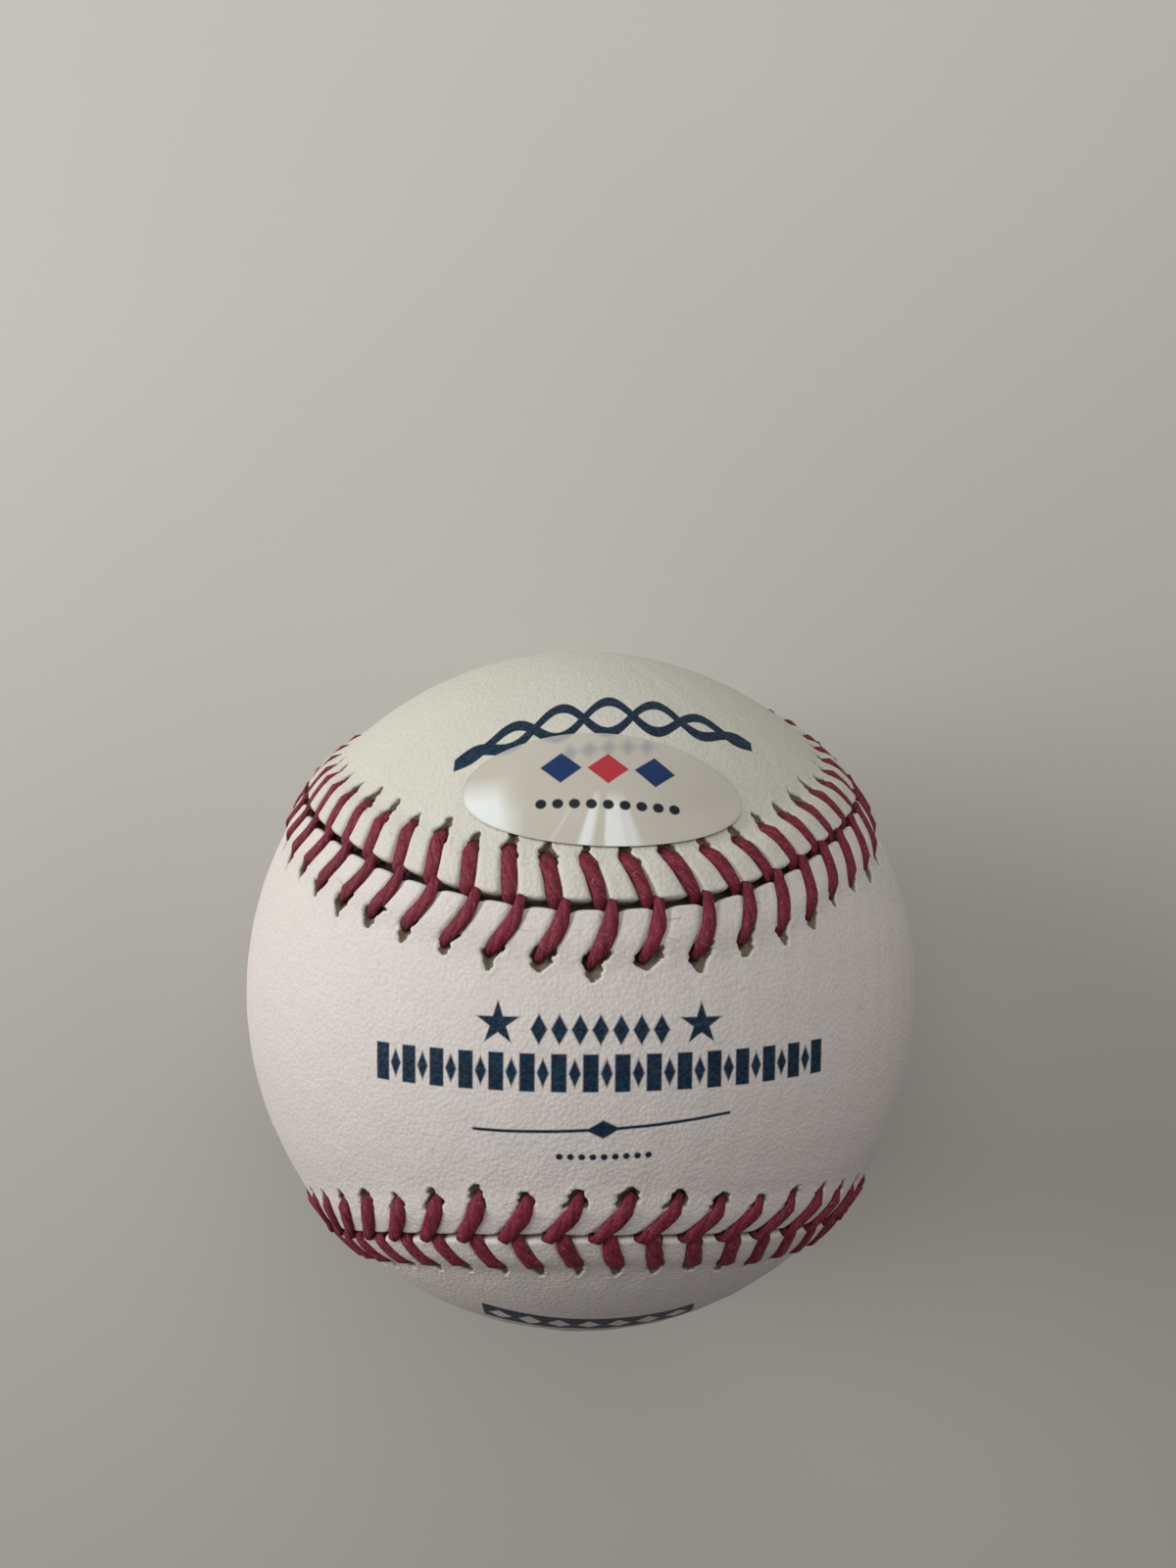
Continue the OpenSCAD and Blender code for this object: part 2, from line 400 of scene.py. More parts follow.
# The tabs between the grooves. A stitch leans, so its width is less square to it than along the seam.
groove_half = 0.56 * mm
tab_side = 0.36 * mm
tab_end_before = 1.9 * mm
tab_end_long = 3.0 * mm
square_share = 0.93
# The torn holes, and the leather that is pushed up round them
hole_w = 0.66 * mm
hole_start = -0.75 * mm
hole_shift = 0.12 * mm
hole_depth = 0.95 * mm
hole_side = 0.16 * mm
hole_rise_along = 0.55
hole_rise_aside = 0.25
fray = 0.09 * mm
fray_waves = (0.17 * mm, 0.38 * mm, 0.31 * mm)
fray_swing = 1.6
rim_w = 0.19 * mm
rim_rise = 0.045 * mm
# The line of the stitches, and how much each one differs by hand, the same on every run
stitch_phase = 0.1
bow_share = 0.15
hand_spread = 0.13 * mm
rise_spread = 0.12
hole_w_spread = 0.15
hole_l_spread = 0.18
hand_work = np.random.default_rng(seed=108)


class Edge:
    """How one panel's edge is sewn. Each stitch has its own values.

    reach: from the seam to its hole. start and lead: how far its line lies ahead at the hole
    and at the seam. bow: how far it bends on the way, as a share of the lead.
    """

    def __init__(self, side, reach, start, lead, bow, tab_rise, hole_l):
        self.side = side
        self.start = start
        self.bow = bow
        self.reach = hand_work.normal(reach, hand_spread, stitch_count)
        self.lead = hand_work.normal(lead, hand_spread, stitch_count)
        self.trim = hand_work.normal(0, hand_spread / 2, stitch_count)
        self.tab_rise = hand_work.normal(tab_rise, rise_spread * tab_rise, stitch_count)
        self.hole_w = hand_work.normal(hole_w, hole_w_spread * hole_w, stitch_count)
        self.hole_l = hand_work.normal(hole_l, hole_l_spread * hole_l, stitch_count)
        self.tear = hand_work.uniform(0, 2 * math.pi, (2, stitch_count))

    def lean(self, place, off):
        """How far ahead of its hole's place the line of a stitch lies, at a distance off the seam."""
        climb = np.clip(1 - off / by_stitch(self.reach, place), 0, None)
        bow = by_stitch(self.bow, place) * np.sin(math.pi * np.clip(climb, 0, 1))
        return by_stitch(self.start, place) * (1 - climb) + by_stitch(self.lead, place) * (climb + bow)


def by_pull(slack, tight):
    """A value for each stitch, between those of a slack and of a tightly pulled one."""
    return slack + (tight - slack) * pull_at(np.arange(stitch_count) * pitch)


edge_a = Edge(
    side=-1,
    reach=by_pull(4.0, 4.4) * mm,
    start=by_pull(0, 0.45) * mm,
    lead=by_pull(2.65, 2.35) * mm,
    bow=by_pull(-bow_share, bow_share),
    tab_rise=by_pull(0.19, 0.38) * mm,
    hole_l=by_pull(1.3, 1.45) * mm,
)
edge_b = Edge(
    side=1,
    reach=by_pull(4.2, 4.4) * mm,
    start=by_pull(0, 0),
    lead=by_pull(1.35, 1.35) * mm,
    bow=by_pull(bow_share, bow_share),
    tab_rise=by_pull(0.28, 0.58) * mm,
    hole_l=by_pull(1.4, 1.8) * mm,
)


def welt(off, reach):
    """The leather swells toward the seam over the ends of the threads under it."""
    return welt_rise * (1 - smooth((off / reach - welt_flat_share) / welt_slope_share))


def torn_hole(edge, nearest, across, down):
    """How deep in its torn hole a place lies, from 0 to 1, and how high on the hole's frayed rim."""
    long = down / edge.hole_l[nearest]
    beside = across - hole_shift
    first, second = edge.tear[:, nearest] + np.sign(beside)
    short_wave, slow_wave, long_wave = (down / wave for wave in fray_waves)
    ragged = np.sin(short_wave + first + fray_swing * np.sin(slow_wave + second))
    ragged += np.sin(long_wave + second)
    half = edge.hole_w[nearest] * np.sqrt(np.clip(1 - np.clip(long, 0, 1), 0, 1)) + fray * ragged
    inside = np.minimum(half - np.abs(beside), np.minimum(down - hole_start, edge.hole_l[nearest] - down))
    sloped = hole_rise_along * np.clip(long, 0, 1) + hole_rise_aside * smooth(beside / hole_w + 0.5)
    hollow = smooth(inside / hole_side + 0.5) * (1 - sloped)
    rim = np.exp(-((inside / rim_w + 1) ** 2)) * smooth(long + 1)
    return hollow, rim


# A panel's grid. Its columns lie at shares of the pitch, from a stitch to half way to the next.
# Its rows go up the cut wall, over the lip, along the tab, past the hole and on to the middle.
columns_a_stitch = 18
column_shares = (0, 0.055, 0.105, 0.14, 0.17, 0.2, 0.235, 0.3, 0.39, 0.5)
wall_shares = (1.0, 0.72, 0.4, 0.12)
lip_steps = np.array([0.02, 0.08, 0.17, 0.3, 0.5]) * mm
tongue_shares = np.linspace(0, 1, 11)[1:-1]
hole_steps = np.append(np.linspace(-0.7, 2.2, 18), [2.6, 3.3, 4.2]) * mm
fill_shares = np.linspace(0, 1, 12)[1:]


def panel_rows():
    """One row for each distance from the cut edge, from the foot of the wall to the panel's middle.

    A row holds its shares of the gap and of the reach, a step beyond them, how far down the cut
    wall it lies, and how far in toward the middle of the panel.
    """
    rows = [(1, 0, 0, share, 0) for share in wall_shares]
    rows += [(1, 0, step, 0, 0) for step in lip_steps]
    near, far = lip_steps[-1], hole_steps[0]
    rows += [(1 - share, share, near * (1 - share) + far * share, 0, 0) for share in tongue_shares]
    rows += [(0, 1, step, 0, 0) for step in hole_steps]
    rows += [(0, 1, hole_steps[-1], 0, share) for share in fill_shares]
    return np.array(rows)


sag_rise = 0.03 * mm
sag_start = 5 * mm
sag_waves = np.array([[37.0, 21.0, -16.0], [-19.0, 33.0, 27.0]])
soil_start_share = 0.8
soil_reach = 4 * mm
merge_gap = 0.002 * mm


def middle_of_panel(side, seam_share):
    """The line that runs down the middle of a figure-eight panel, from lobe to lobe."""
    angle = (360 * (seam_share - (0.25 if side > 0 else 0)) + 180) % 360 - 180
    folded = np.where(np.abs(angle) > 90, np.sign(angle) * (180 - np.abs(angle)), angle)
    angle = np.radians(np.clip(2 * folded, -90, 90))
    across, out = np.sin(angle), np.cos(angle)
    level = np.zeros_like(across)
    return np.stack([across, level, out] if side < 0 else [level, -across, -out], axis=-1)


def leather_panel(name, edge):
    """A flat grid, whose rows run along the seam, is wrapped on to the ball."""
    rows = panel_rows()
    bpy.ops.object.select_all(action="DESELECT")
    bpy.ops.mesh.primitive_grid_add(
        x_subdivisions=stitch_count * columns_a_stitch, y_subdivisions=len(rows) - 1, size=1
    )
    panel = bpy.context.object
    panel.name = name
    flat = np.empty(len(panel.data.vertices) * 3)
    panel.data.vertices.foreach_get("co", flat)
    flat = flat.reshape(-1, 3) + 0.5
    row = np.rint(flat[:, 1] * (len(rows) - 1)).astype(int)
    gap_share, reach_share, step, wall_share, fill = rows[row].T

    # Columns stand closest together at the sides of the tabs
    column = np.rint(flat[:, 0] * stitch_count * columns_a_stitch)
    stitch = column // columns_a_stitch
    column = column - stitch * columns_a_stitch
    folded = np.minimum(column, columns_a_stitch - column)
    share = np.interp(folded, np.arange(len(column_shares)), column_shares)
    share = np.where(column > columns_a_stitch / 2, 1 - share, share)
    place = stitch + share
    nearest = np.rint(place).astype(int) % stitch_count
    across = (place - np.rint(place)) * pitch * square_share

    # The cut edge draws back from the seam at the corners of the tabs
    reach = by_stitch(edge.reach, place)
    corner = 1 - smooth(np.abs(across) / corner_w)
    gap = gap_half + by_stitch(edge.trim, place) + corner_open * corner ** 2
    off = gap_share * gap + reach_share * reach + step

    # Height over the smooth ball: the welt, the tabs between stitches and the torn holes
    lip = np.clip((off - gap) / lip_round, 0, 1)
    lip = np.sqrt(1 - (1 - lip) ** 2)
    tab = smooth((np.abs(across) - groove_half) / tab_side)
    tab *= 1 - smooth((off - reach + tab_end_before) / tab_end_long)
    hollow, rim = torn_hole(edge, nearest, across, off - reach)
    lift = welt(off, reach) * (1 - lip_drop * (1 - lip))
    lift += by_stitch(edge.tab_rise, place - 0.5) * tab * lip
    lift += rim_rise * rim - hole_depth * hollow
    in_wall = wall_share > 0
    hollow = np.where(in_wall, 0, hollow)

    run = (place + stitch_phase) * pitch + edge.lean(place, off)
    direction = over_ball(run, edge.side * off)
    middle = middle_of_panel(edge.side, place / stitch_count)
    direction = unit(direction * (1 - fill[:, None]) + middle * fill[:, None])
    sag = np.sin(direction @ sag_waves[0]) * np.sin(direction @ sag_waves[1])
    lift += sag_rise * sag * smooth(off / sag_start)
    lift = np.where(in_wall, -wall_share * leather_t, lift)
    points = direction * (ball_r + lift)[:, None]
    panel.data.vertices.foreach_set("co", points.ravel())

    # The leather's finish reads how torn, how freshly cut and how near the seam a place is
    state = panel.data.color_attributes.new("state", "FLOAT_COLOR", "POINT")
    near = 1 - smooth((off - reach * soil_start_share) / soil_reach)
    colors = np.stack([hollow, in_wall * 1.0, near, np.ones_like(hollow)], axis=-1)
    state.data.foreach_set("color", colors.ravel())

    bpy.ops.object.mode_set(mode="EDIT")
    bpy.ops.mesh.select_all(action="SELECT")
    bpy.ops.mesh.remove_doubles(threshold=merge_gap)
    if edge.side < 0:
        bpy.ops.mesh.flip_normals()
    bpy.ops.object.mode_set(mode="OBJECT")
    bpy.ops.object.shade_smooth()
    return panel


def print_places(finish):
    """Distances over the ball from the middle of the printed panel, in millimetres: across and up."""
    x, y, z = (finish.node("ShaderNodeSeparateXYZ", {}, [finish.place], out=axis) for axis in range(3))
    radius_mm = ball_r / mm
    across = (x / ball_r).both(1.0).either(-1.0).math("ARCSINE") * radius_mm
    up = y.math("ARCTAN2", z) * radius_mm
    return across, up


def lozenge(across, up, half_w, half_h):
    """About how far inside a lozenge a place is, in millimetres."""
    side_slope = 0.7 * min(half_w, half_h)
    return (1 - abs(across) / half_w - abs(up) / half_h) * side_slope


def block(across, up, half_w, half_h):
    return (half_w - abs(across)).both(half_h - abs(up))


def dot(across, up, radius):
    return radius - (across * across + up * up).math("SQRT")


def every(value, step):
    """The distance to the nearest of a row of places, one step apart."""
    return value.math("PINGPONG", step / 2)


def front_print(across, up):
    """Two stars with lozenges between them, a band of beads and reels, a rule and a row of dots."""
    middle = 1.91
    star_r, star_apart, star_up = 2.0, 8.7, 5.6
    point_turn, notch_turn = math.radians(36), math.radians(72)
    dx = abs(across - middle) - star_apart
    dy = up - star_up
    turn = dx.math("ARCTAN2", dy).math("PINGPONG", point_turn)
    reach = (dx * dx + dy * dy).math("SQRT")
    marks = star_r * math.cos(notch_turn) - reach * (turn - notch_turn).math("COSINE")

    row_half, row_up, row_step = 6.05, 5.2, 1.728
    row = lozenge(every(across - middle, row_step), up - row_up, half_w=0.72, half_h=1.3)
    marks = marks.either(row.both(row_half - abs(across - middle)))

    # The band droops and grows toward its ends
    band_middle, band_half, band_up, bead_step = 2.45, 20.85, 1.56, 2.68
    band_droop, band_growth = 0.36, 0.16
    far = (across - band_middle) / band_half
    far = far * far
    dy = (up - band_up + band_droop * far) / (1 + band_growth * far)
    along = every(across - band_middle, bead_step)
    reel = block(along - bead_step / 2, dy, half_w=0.66, half_h=1.62)
    bead = lozenge(along, dy, half_w=0.52, half_h=1.25)
    marks = marks.either(reel.either(bead).both(band_half - abs(across - band_middle)))

    rule_middle, rule_half, rule_up, rule_slope = 2.2, 11.2, -3.35, 0.05
    dx = across - rule_middle
    dy = up - rule_up - rule_slope * dx
    rule = block(dx, dy, rule_half, half_h=0.15)
    marks = marks.either(rule).either(lozenge(dx, dy, half_w=1.5, half_h=0.85))

    dots_middle, dots_half, dots_up, dots_step = 2.3, 4.3, -5.9, 0.95
    dots = dot(every(across - dots_middle, dots_step), up - dots_up, radius=0.3)
    return marks.either(dots.both(dots_half - abs(across - dots_middle)))


def lobe_print(across, up):
    """Two waves over a row of lozenges on the upper lobe, and on the lower one a bar with bare lozenges."""
    wave_middle, wave_half, wave_up, wave_l = 2.5, 14.6, 36.4, 9.4
    wave_swing, wave_slope, wave_arch, line_half = 2.5, 0.19, 0.012, 0.8
    dx = across - wave_middle
    far = dx / wave_half
    swell = (1 - far * far).either(0) * wave_swing
    swing = (dx * (2 * math.pi / wave_l)).math("COSINE") * swell
    dy = up - wave_up - wave_slope * dx + wave_arch * dx * dx
    waves = (line_half - abs(dy - swing)).either(line_half - abs(dy + swing)).both(wave_half - abs(dx))
    row_drop, row_half, row_step = 4.75, 4.5, 1.8
    row = lozenge(every(dx, row_step), dy + row_drop, half_w=0.75, half_h=1.0).both(row_half - abs(dx))

    bar_middle, bar_half, bar_up, bar_slope, bare_step = 1.2, 10.4, -32.2, 0.1, 2.9
    dx = across - bar_middle
    dy = up - bar_up + bar_slope * dx
    bar = block(dx, dy, bar_half, half_h=2.5)
    bare = lozenge(every(dx, bare_step), dy, half_w=1.15, half_h=1.6)
    return waves.either(row).either(bar.both(0 - bare))


ink_blue = (0.005, 0.017, 0.037)
ink_worn = (0.02, 0.05, 0.085)
ink_edge_mm = 0.14
painted_bounce_pink = (0.745, 0.655, 0.64)
painted_bounce_share = 0.8
painted_bounce_reach = 50 * mm
pit_painted_shade_factor = 0.75
flesh = (0.24, 0.195, 0.138)
flesh_shade = (0.09, 0.072, 0.051)
hole_painted_shade = (0.03, 0.023, 0.017)
cut_brown = (0.25, 0.215, 0.18)
dirt_brown = (0.3, 0.27, 0.23)
grain_depth = 0.08 * mm
grain_share = 0.6
printed_white = (0.70, 0.66, 0.61)
printed_cream = (0.65, 0.607, 0.56)
lobe_white = (0.655, 0.634, 0.555)
lobe_cream = (0.605, 0.585, 0.505)


def leather_finish(name, color, shade, marks):
    leather = Finish(name)
    state = leather.node("ShaderNodeAttribute", {"attribute_name": "state"})
    hollow, cut, near = (leather.node("ShaderNodeSeparateColor", {}, [state], out=part) for part in range(3))

    pebble = leather.cells(0.39 * mm)
    crinkle = leather.noise(0.26 * mm, detail=3, rough=0.6)
    swell = leather.noise(0.75 * mm, detail=1)
    cloud = leather.noise(9 * mm, detail=4, rough=0.6)
    grime = leather.noise(1.3 * mm, detail=5, rough=0.7)
    stretched = leather.node("ShaderNodeMapping", {}, {"Vector": leather.place, "Scale": (0.35, 1.0, 0.8)})
    vein = leather.noise(2.6 * mm, detail=0, place=stretched)
    patch = leather.noise(2.0 * mm, detail=1)
    crack = (1 - abs(vein - 0.5) * 90).clamp() * patch.past(0.58, 10) * near

    # Clean leather, pinker toward the lower seam as painted warm light bounced from the table, with painted
    # shade in the pits of its grain, and with grime and cracks
    height = leather.node("ShaderNodeSeparateXYZ", {}, [leather.place], out=1)
    low_side = (0.5 - height / painted_bounce_reach).clamp()
    pit_painted_shade_share = (pebble * 0.4 + crinkle * 0.35 - 0.25).clamp()
    base = leather.mix(cloud, color, shade)
    # Painted light: a warm pink bounce from the table, stronger toward the lower side
    base = leather.mix(low_side * painted_bounce_share, base, painted_bounce_pink)
    # Painted shade: the pits between the grain's pebbles are darker
    base = leather.mix(pit_painted_shade_share, base, tuple(pit_painted_shade_factor * part for part in shade))
    base = leather.mix(grime.past(0.62, 6) * (0.18 + 0.35 * near), base, dirt_brown)
    base = leather.mix(crack * 0.4, base, dirt_brown)

    # The print, paler in the pits and grooves of the grain
    across, up = print_places(leather)
    inside = marks(across, up).filled(ink_edge_mm)
    ink = leather.mix(pebble.past(0.35, 2.5) * crinkle, ink_blue, ink_worn)
    base = leather.mix(inside * (crinkle.past(0.25, 6) * 0.08 + 0.92), base, ink)

    # The cut edge and the torn holes, bare at the rim, with painted shade dark in the depth
    tatter = grime + crinkle - 1.0
    torn = (hollow * 6 - 0.5 + tatter * 1.2).clamp()
    base = leather.mix(cut * 0.9, base, cut_brown)
    base = leather.mix(torn, base, leather.mix(crinkle, flesh, flesh_shade))
    # Painted shade in the depth of each torn hole
    base = leather.mix((hollow + tatter * 0.5).past(0.62, 3.5), base, hole_painted_shade)

    relief = crinkle * 0.8 - pebble * 1.1 + swell * 0.7 + cloud * 0.4 - crack * 0.9
    leather.coat(
        Base_Color=base,
        Roughness=(0.52 + 0.2 * crinkle - 0.1 * inside).clamp(),
        Normal=leather.bump(relief, grain_depth, grain_share),
        Specular_IOR_Level=0.18,
    )
    return leather.material


panel_a = leather_panel("leather_panel_a", edge_a)
panel_a.data.materials.append(leather_finish("printed_leather", printed_white, printed_cream, front_print))
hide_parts("cover_panel_a")
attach(panel_a, "root")

panel_b = leather_panel("leather_panel_b", edge_b)
panel_b.data.materials.append(leather_finish("lobe_leather", lobe_white, lobe_cream, lobe_print))
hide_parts("cover_panel_b")
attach(panel_b, "root")


# Stitches
# Twisted four-ply cotton thread, waxed crimson, sewn with two needles by hand. A leg comes
# up out of its hole, lies flat in the groove between two tabs and dives into the gap, where
# the leg of the printed panel goes over the leg of the other one.
leg_sides = 8
leg_rings = 10
thread_w = 1.5 * mm
thread_t = 0.66 * mm
thread_over = 0.12 * mm
hand_share = 0.06
round_w, round_t = 0.85, 0.75
# Along a leg, from its hole to the gap: the share of the way, and there its shares of width and height
climb_shares = np.array([-0.08, 0.0, 0.08, 0.2, 0.36, 0.54, 0.7, 0.83, 0.93, 1.01, 1.05])
over_width_shares = np.array([0.5, 0.62, 0.78, 0.9, 0.96, 0.94, 0.87, 0.76, 0.66, 0.54, 0.32])
under_width_shares = np.array([0.7, 0.82, 0.92, 1.0, 1.0, 0.95, 0.9, 0.88, 0.84, 0.76, 0.6])
over_lift_shares = np.array([-1.0, -0.5, 0.1, 0.9, 0.95, 1.0, 1.0, 1.1, 1.4, 0.5, -0.6])
under_lift_shares = np.array([-1.0, -0.5, 0.1, 0.9, 0.95, 1.0, 1.0, 0.9, 0.5, -0.8, -1.4])
end_shares = np.interp(climb_shares, [0.0, 0.12, 0.88, 1.0], [1, 0, 0, 1])
over_cross = 0.5 * mm
under_cross = 0.05 * mm
cross_start = 0.6
cross_shares = by_pull(0.4, 1.0)
spread_shares = by_pull(1.12, 1.0)
fibre_sides = 3
fibre_rings = 5
fibre_r = 0.018 * mm
fibre_taper = 0.6
fibre_share = 0.5
fibre_long = (0.5 * mm, 1.5 * mm)
weld_gap = 0.001 * mm


def flat_tube(sides, rings):
    """A grid to be rolled into a tube, with the ring and the angle of each of its points."""
    bpy.ops.object.select_all(action="DESELECT")
    bpy.ops.mesh.primitive_grid_add(x_subdivisions=sides, y_subdivisions=rings, size=1, calc_uvs=True)
    grid = bpy.context.object
    flat = np.empty(len(grid.data.vertices) * 3)
    grid.data.vertices.foreach_get("co", flat)
    flat = flat.reshape(-1, 3) + 0.5
    return grid, np.rint(flat[:, 1] * rings).astype(int), flat[:, 0] * 2 * math.pi


def rolled(pattern, centres, beside, upward, width, height, tones):
    """A copy of the flat tube, rolled round its own middle line, with a tone for each ring."""
    grid, ring, angle = pattern
    round_x = np.sign(np.cos(angle)) * np.abs(np.cos(angle)) ** round_w
    round_y = np.sign(np.sin(angle)) * np.abs(np.sin(angle)) ** round_t
    points = (
        centres[ring]
        + beside[ring] * (width[ring] * round_x)[:, None]
        + upward[ring] * (height[ring] * round_y)[:, None]
    )
    tube = grid.copy()
    tube.data = grid.data.copy()
    scene.collection.objects.link(tube)
    tube.data.vertices.foreach_set("co", points.ravel())
    shade = tube.data.color_attributes.new("shade", "FLOAT_COLOR", "POINT")
    shade.data.foreach_set("color", tones[ring].ravel())
    return tube


def loose_fibre(pattern, start, outward, aside, tone):
    """A hair of cotton that has come loose from the side of a leg."""
    along = np.linspace(0, 1, fibre_rings + 1)[:, None]
    across = np.cross(outward, aside)
    lean = hand_work.uniform(-1, 1)
    away = unit(aside + across * lean + outward * hand_work.uniform(0.15, 0.5))
    curl = across * hand_work.uniform(-0.6, 0.6) - outward * 0.2
    centres = start + hand_work.uniform(*fibre_long) * (away * along + curl * along ** 2)
    beside = np.tile(unit(np.cross(away, outward)), (len(along), 1))
    upward = np.tile(unit(np.cross(beside[0], away)), (len(along), 1))
    radius = fibre_r * (1 - fibre_taper * along[:, 0])
    tones = np.tile([tone, 0.0, hand_work.uniform(0, 1), 1.0], (len(along), 1))
    return rolled(pattern, centres, beside, upward, radius, radius, tones)


def sew(name, edge, width_shares, lift_shares, cross_over):
    """All the legs of one panel, each bent along its own stitch, joined into one row."""
    leg_pattern = flat_tube(leg_sides, leg_rings)
    fibre_pattern = flat_tube(fibre_sides, fibre_rings)
    bend = np.sin(math.pi * np.clip(climb_shares, 0, 1))
    pieces = []
    for number in range(stitch_count):
        cross = cross_over * cross_shares[number] * smooth((climb_shares - cross_start) / (1 - cross_start))
        off = edge.reach[number] * (1 - climb_shares) - cross
        run = (number + stitch_phase) * pitch + edge.start[number] * (1 - climb_shares)
        run = run + edge.lead[number] * (climb_shares + edge.bow[number] * bend)
        lift = lift_shares * (thread_over + thread_t / 2) * hand_work.normal(1, hand_share)
        centres = over_ball(run, edge.side * off) * (ball_r + lift)[:, None]
        outward = unit(centres)
        beside = unit(np.cross(outward, centres[-2] - centres[2]))
        upward = unit(np.cross(np.gradient(centres, axis=0), beside))
        upward *= np.sign(np.sum(upward[leg_rings // 2] * outward[leg_rings // 2]))
        width = thread_w / 2 * width_shares * hand_work.normal(1, hand_share, leg_rings + 1)
        width *= spread_shares[number]
        height = np.full(leg_rings + 1, thread_t / 2) * hand_work.normal(1, hand_share)
        tone = hand_work.uniform(0, 1)
        tones = np.tile([tone, 0.0, hand_work.uniform(0, 1), 1.0], (leg_rings + 1, 1))
        tones[:, 1] = end_shares
        pieces.append(rolled(leg_pattern, centres, beside, upward, width, height, tones))
        if hand_work.uniform(0, 1) < fibre_share:
            ring = hand_work.integers(3, leg_rings - 1)
            aside = beside[ring] * hand_work.choice([-1, 1])
            start = centres[ring] + aside * width[ring] * 0.9 + outward[ring] * height[ring] * 0.4
            pieces.append(loose_fibre(fibre_pattern, start, outward[ring], aside, tone))
    bpy.data.objects.remove(leg_pattern[0])
    bpy.data.objects.remove(fibre_pattern[0])
    bpy.ops.object.select_all(action="DESELECT")
    for piece in pieces:
        piece.select_set(True)
    bpy.context.view_layer.objects.active = pieces[0]
    bpy.ops.object.join()
    row = bpy.context.object
    row.name = name
    bpy.ops.object.mode_set(mode="EDIT")
    bpy.ops.mesh.select_all(action="SELECT")
    bpy.ops.mesh.remove_doubles(threshold=weld_gap)
    bpy.ops.mesh.select_all(action="DESELECT")
    bpy.ops.mesh.select_non_manifold(extend=False)
    bpy.ops.mesh.fill_holes(sides=leg_sides)
    bpy.ops.mesh.select_all(action="SELECT")
    bpy.ops.mesh.normals_make_consistent(inside=False)
    bpy.ops.object.mode_set(mode="OBJECT")
    bpy.ops.object.shade_smooth()
    return row


crimson = (0.198, 0.016, 0.036)
crimson_deep = (0.148, 0.012, 0.027)
fibre_light = (0.28, 0.048, 0.072)
fibre_dark = (0.07, 0.004, 0.012)
ply_groove_painted_shade = (0.06, 0.004, 0.01)
leg_end_painted_shade = (0.07, 0.006, 0.012)
lint_pink = (0.42, 0.2, 0.22)
plies = 4
twist_turns = 3.2
ply_depth = 0.13 * mm


def thread_finish():
    """The finish reads each leg's tone, how near its ends a place is, and a chance of its own."""
    thread = Finish("waxed_thread")
    state = thread.node("ShaderNodeAttribute", {"attribute_name": "shade"})
    tone, ends, chance = (thread.node("ShaderNodeSeparateColor", {}, [state], out=part) for part in range(3))
    uv = thread.node("ShaderNodeUVMap", {"uv_map": "UVMap"})
    u = thread.node("ShaderNodeSeparateXYZ", {}, [uv])
    v = thread.node("ShaderNodeSeparateXYZ", {}, [uv], out=1)
    twist = u * plies + v * twist_turns + chance * 9
    strand = abs((twist * math.pi).math("SINE"))
    drawn = thread.node("ShaderNodeCombineXYZ", {}, [twist * 5, v * 5 - u * 4, chance * 40])
    fibre = thread.noise(0.8, detail=4, rough=0.65, place=drawn)
    lint = thread.noise(0.3 * mm, detail=4, rough=0.75)
    color = thread.mix(tone, crimson, crimson_deep)
    color = thread.mix(fibre.past(0.4, 3) * 0.75, color, fibre_light)
    color = thread.mix(fibre.below(0.5, 5) * 0.6, color, fibre_dark)
    # Painted shade in the grooves between the plies
    color = thread.mix(strand.below(0.35, 3) * 0.5, color, ply_groove_painted_shade)
    color = thread.mix(lint.past(0.55, 7) * 0.5, color, lint_pink)
    # Painted shade at the ends of each leg, where it dives into its hole and into the gap
    color = thread.mix(ends * 0.45, color, leg_end_painted_shade)
    thread.coat(
        Base_Color=color,
        Roughness=(0.5 + 0.3 * fibre).clamp(),
        Normal=thread.bump(fibre * 0.7 + strand * 0.8, ply_depth, 0.9),
        Specular_IOR_Level=0.2,
    )
    return thread.material


waxed_thread = thread_finish()
stitches_a = sew("thread_legs_a", edge_a, over_width_shares, over_lift_shares, over_cross)
stitches_b = sew("thread_legs_b", edge_b, under_width_shares, under_lift_shares, under_cross)
for row_of_legs, node_name in ((stitches_a, "stitches_panel_a"), (stitches_b, "stitches_panel_b")):
    row_of_legs.data.materials.clear()
    row_of_legs.data.materials.append(waxed_thread)
    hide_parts(node_name)
    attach(row_of_legs, "root")


# Oval label
# A thin pearly film with a plain mark, pressed on to the upper lobe after the ball was
# made. It bridges the row of needle holes along its lower edge.
label_half_w = 13.0 * mm
label_half_h = 6.35 * mm
label_up = 27.2 * mm
label_across = 2.05 * mm
label_t = 0.1 * mm
film_gap = 0.05 * mm
film_ripple = 0.02 * mm
film_over_reach = 5.3 * mm
bridge_rise = 0.14 * mm
bridge_from = 7.5 * mm
bridge_slope = 2.5 * mm
label_rings = 16
label_spokes = 96
seam_stride = 10


def label_point(across, up, lift):
    """A place on the film, over the leather's welt and its row of holes."""
    out = np.stack([
        np.sin(across / ball_r),
        np.cos(across / ball_r) * np.sin(up / ball_r),
        np.cos(across / ball_r) * np.cos(up / ball_r),
    ], axis=-1)
    seam = seam_at(seam_turns[::seam_stride])
    off = ball_r * np.arccos(np.clip(out @ seam.T, -1, 1)).min(axis=1)
    bridge = bridge_rise * smooth((bridge_from - off) / bridge_slope)
    return out * (ball_r + welt(off, film_over_reach) + bridge + film_gap + lift)[:, None]


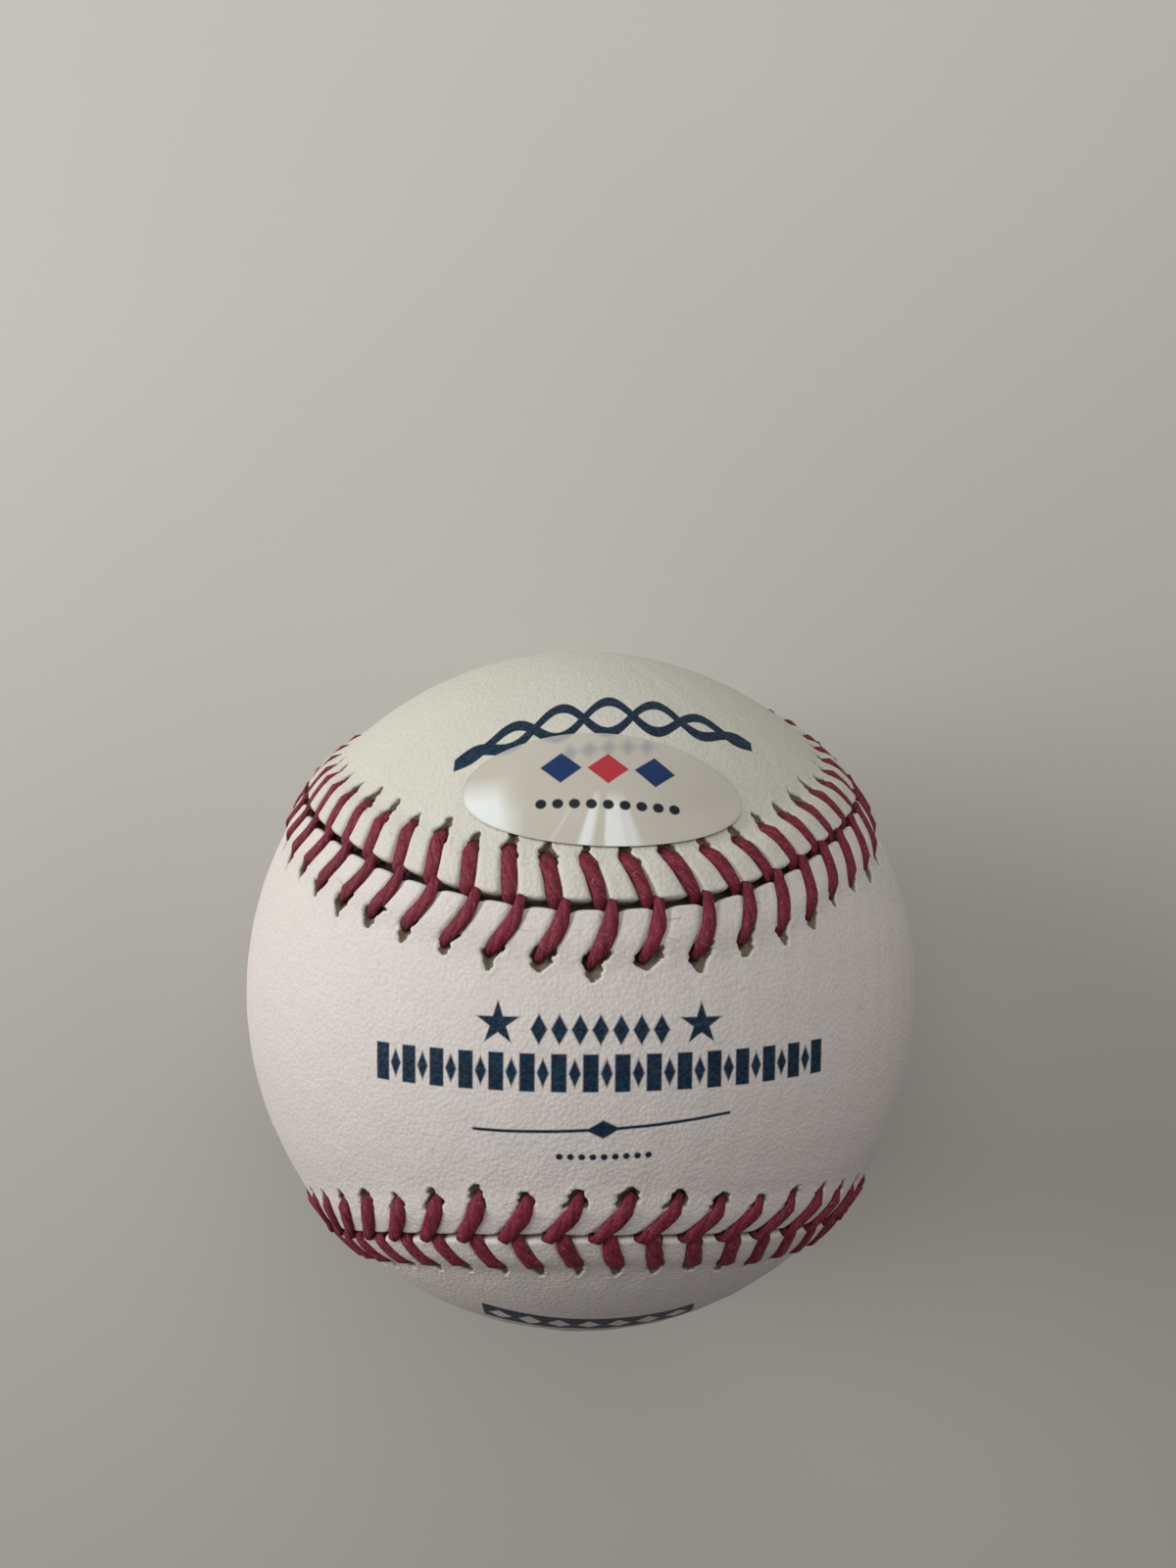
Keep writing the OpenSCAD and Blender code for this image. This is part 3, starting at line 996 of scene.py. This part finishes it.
bpy.ops.object.select_all(action="DESELECT")
bpy.ops.mesh.primitive_circle_add(vertices=label_spokes, radius=1, fill_type="NOTHING")
label = bpy.context.object
label.name = "oval_film"
bpy.ops.object.mode_set(mode="EDIT")
bpy.ops.mesh.select_all(action="SELECT")
for number in range(label_rings - 1, 0, -1):
    bpy.ops.mesh.extrude_edges_move()
    bpy.ops.transform.resize(value=(number / (number + 1),) * 3)
bpy.ops.mesh.edge_face_add()
bpy.ops.mesh.select_all(action="SELECT")
bpy.ops.mesh.normals_make_consistent(inside=False)
bpy.ops.object.mode_set(mode="OBJECT")
disc = np.empty(len(label.data.vertices) * 3)
label.data.vertices.foreach_get("co", disc)
disc = disc.reshape(-1, 3)
lift = film_ripple * np.sin(disc[:, 0] * 9) * np.sin(disc[:, 1] * 7)
film = label_point(label_across + disc[:, 0] * label_half_w, label_up + disc[:, 1] * label_half_h, lift)
label.data.vertices.foreach_set("co", film.ravel())
label.data.update()
thicken = label.modifiers.new("film", "SOLIDIFY")
thicken.thickness = label_t
thicken.offset = 1
bpy.ops.object.modifier_apply(modifier="film")
bpy.ops.object.shade_smooth_by_angle(angle=math.radians(50))

pearl_tone = (0.55, 0.515, 0.44)
pearl_shade = (0.51, 0.475, 0.40)
painted_glare_white = (0.8, 0.83, 0.79)
veiled_ink = (0.1, 0.15, 0.24)
label_blue = (0.013, 0.035, 0.12)
label_red = (0.45, 0.035, 0.05)
label_black = (0.012, 0.016, 0.02)
film_edge_painted_shade = (0.4, 0.385, 0.35)
mark_middle, mark_up, mark_step = 0.4, 1.9, 4.3
mark_half_w, mark_half_h = 1.9, 1.75
dots_up, dots_step, dot_count, dot_r = -2.1, 1.5, 9, 0.5
mark_edge_mm = 0.12
veiled_edge_mm = 0.6
fan_up, fan_half, fan_aside = 4.0, 0.44, 0.1
streaks_up, streaks_fade = -0.4, 1.8
patch_across, patch_up = -7.0, 1.5

# The film is pearly and hazy, and the print below shows through it dimly
pearl = Finish("pearl_film")
across, up = print_places(pearl)
dx = across - label_across / mm
dy = up - label_up / mm
haze = pearl.noise(5 * mm, detail=3)
film_color = pearl.mix(haze, pearl_shade, pearl_tone)
film_color = pearl.mix(lobe_print(across, up).filled(veiled_edge_mm) * 0.4, film_color, veiled_ink)

# Painted reflections of the room: a glare patch at the left end, and streaks that fan out to the lower edge
out_x = dx * (mm / label_half_w)
out_y = dy * (mm / label_half_h)
out = (out_x * out_x + out_y * out_y).math("SQRT")
spread = (dx - mark_middle) / (fan_up - dy)
fan = pearl.node("ShaderNodeCombineXYZ", {}, [spread * 2.6 + 3.1, 0.0, 0.0])
streak = pearl.noise(0.9, detail=1, place=fan).past(0.46, 16) * ((streaks_up - dy) / streaks_fade).clamp()
streak = streak * abs(spread + fan_aside).below(fan_half, 9)
glare = (out + haze * 0.25).past(0.66, 4)
glare = glare * ((patch_across - dx) / 2.5).clamp() * ((patch_up - dy) / 3).clamp()
film_color = pearl.mix((streak * 0.85).either(glare * 0.95), film_color, painted_glare_white)

# Three lozenges, the middle one red, over a row of dots
from_middle = abs(dx - mark_middle)
lozenges = lozenge(every(dx - mark_middle, mark_step), dy - mark_up, mark_half_w, mark_half_h)
lozenges = lozenges.both(1.5 * mark_step - from_middle)
mark_color = pearl.mix(from_middle.below(mark_step / 2, 9), label_blue, label_red)
film_color = pearl.mix(lozenges.filled(mark_edge_mm), film_color, mark_color)
dots = dot(every(dx - mark_middle, dots_step), dy - dots_up, dot_r)
dots = dots.both(dot_count / 2 * dots_step - from_middle)
film_color = pearl.mix(dots.filled(mark_edge_mm), film_color, label_black)
# Painted shade: a thin dark line along the film's edge
film_color = pearl.mix(out.past(0.982, 90) * 0.4, film_color, film_edge_painted_shade)
pearl.coat(
    Base_Color=film_color,
    Roughness=0.35,
    Coat_Weight=0.25,
    Coat_Roughness=0.15,
    Specular_IOR_Level=0.3,
    Normal=pearl.bump(haze, 0.25 * mm, 0.25),
)
label.data.materials.append(pearl.material)
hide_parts("oval_label")
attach(label, "root")
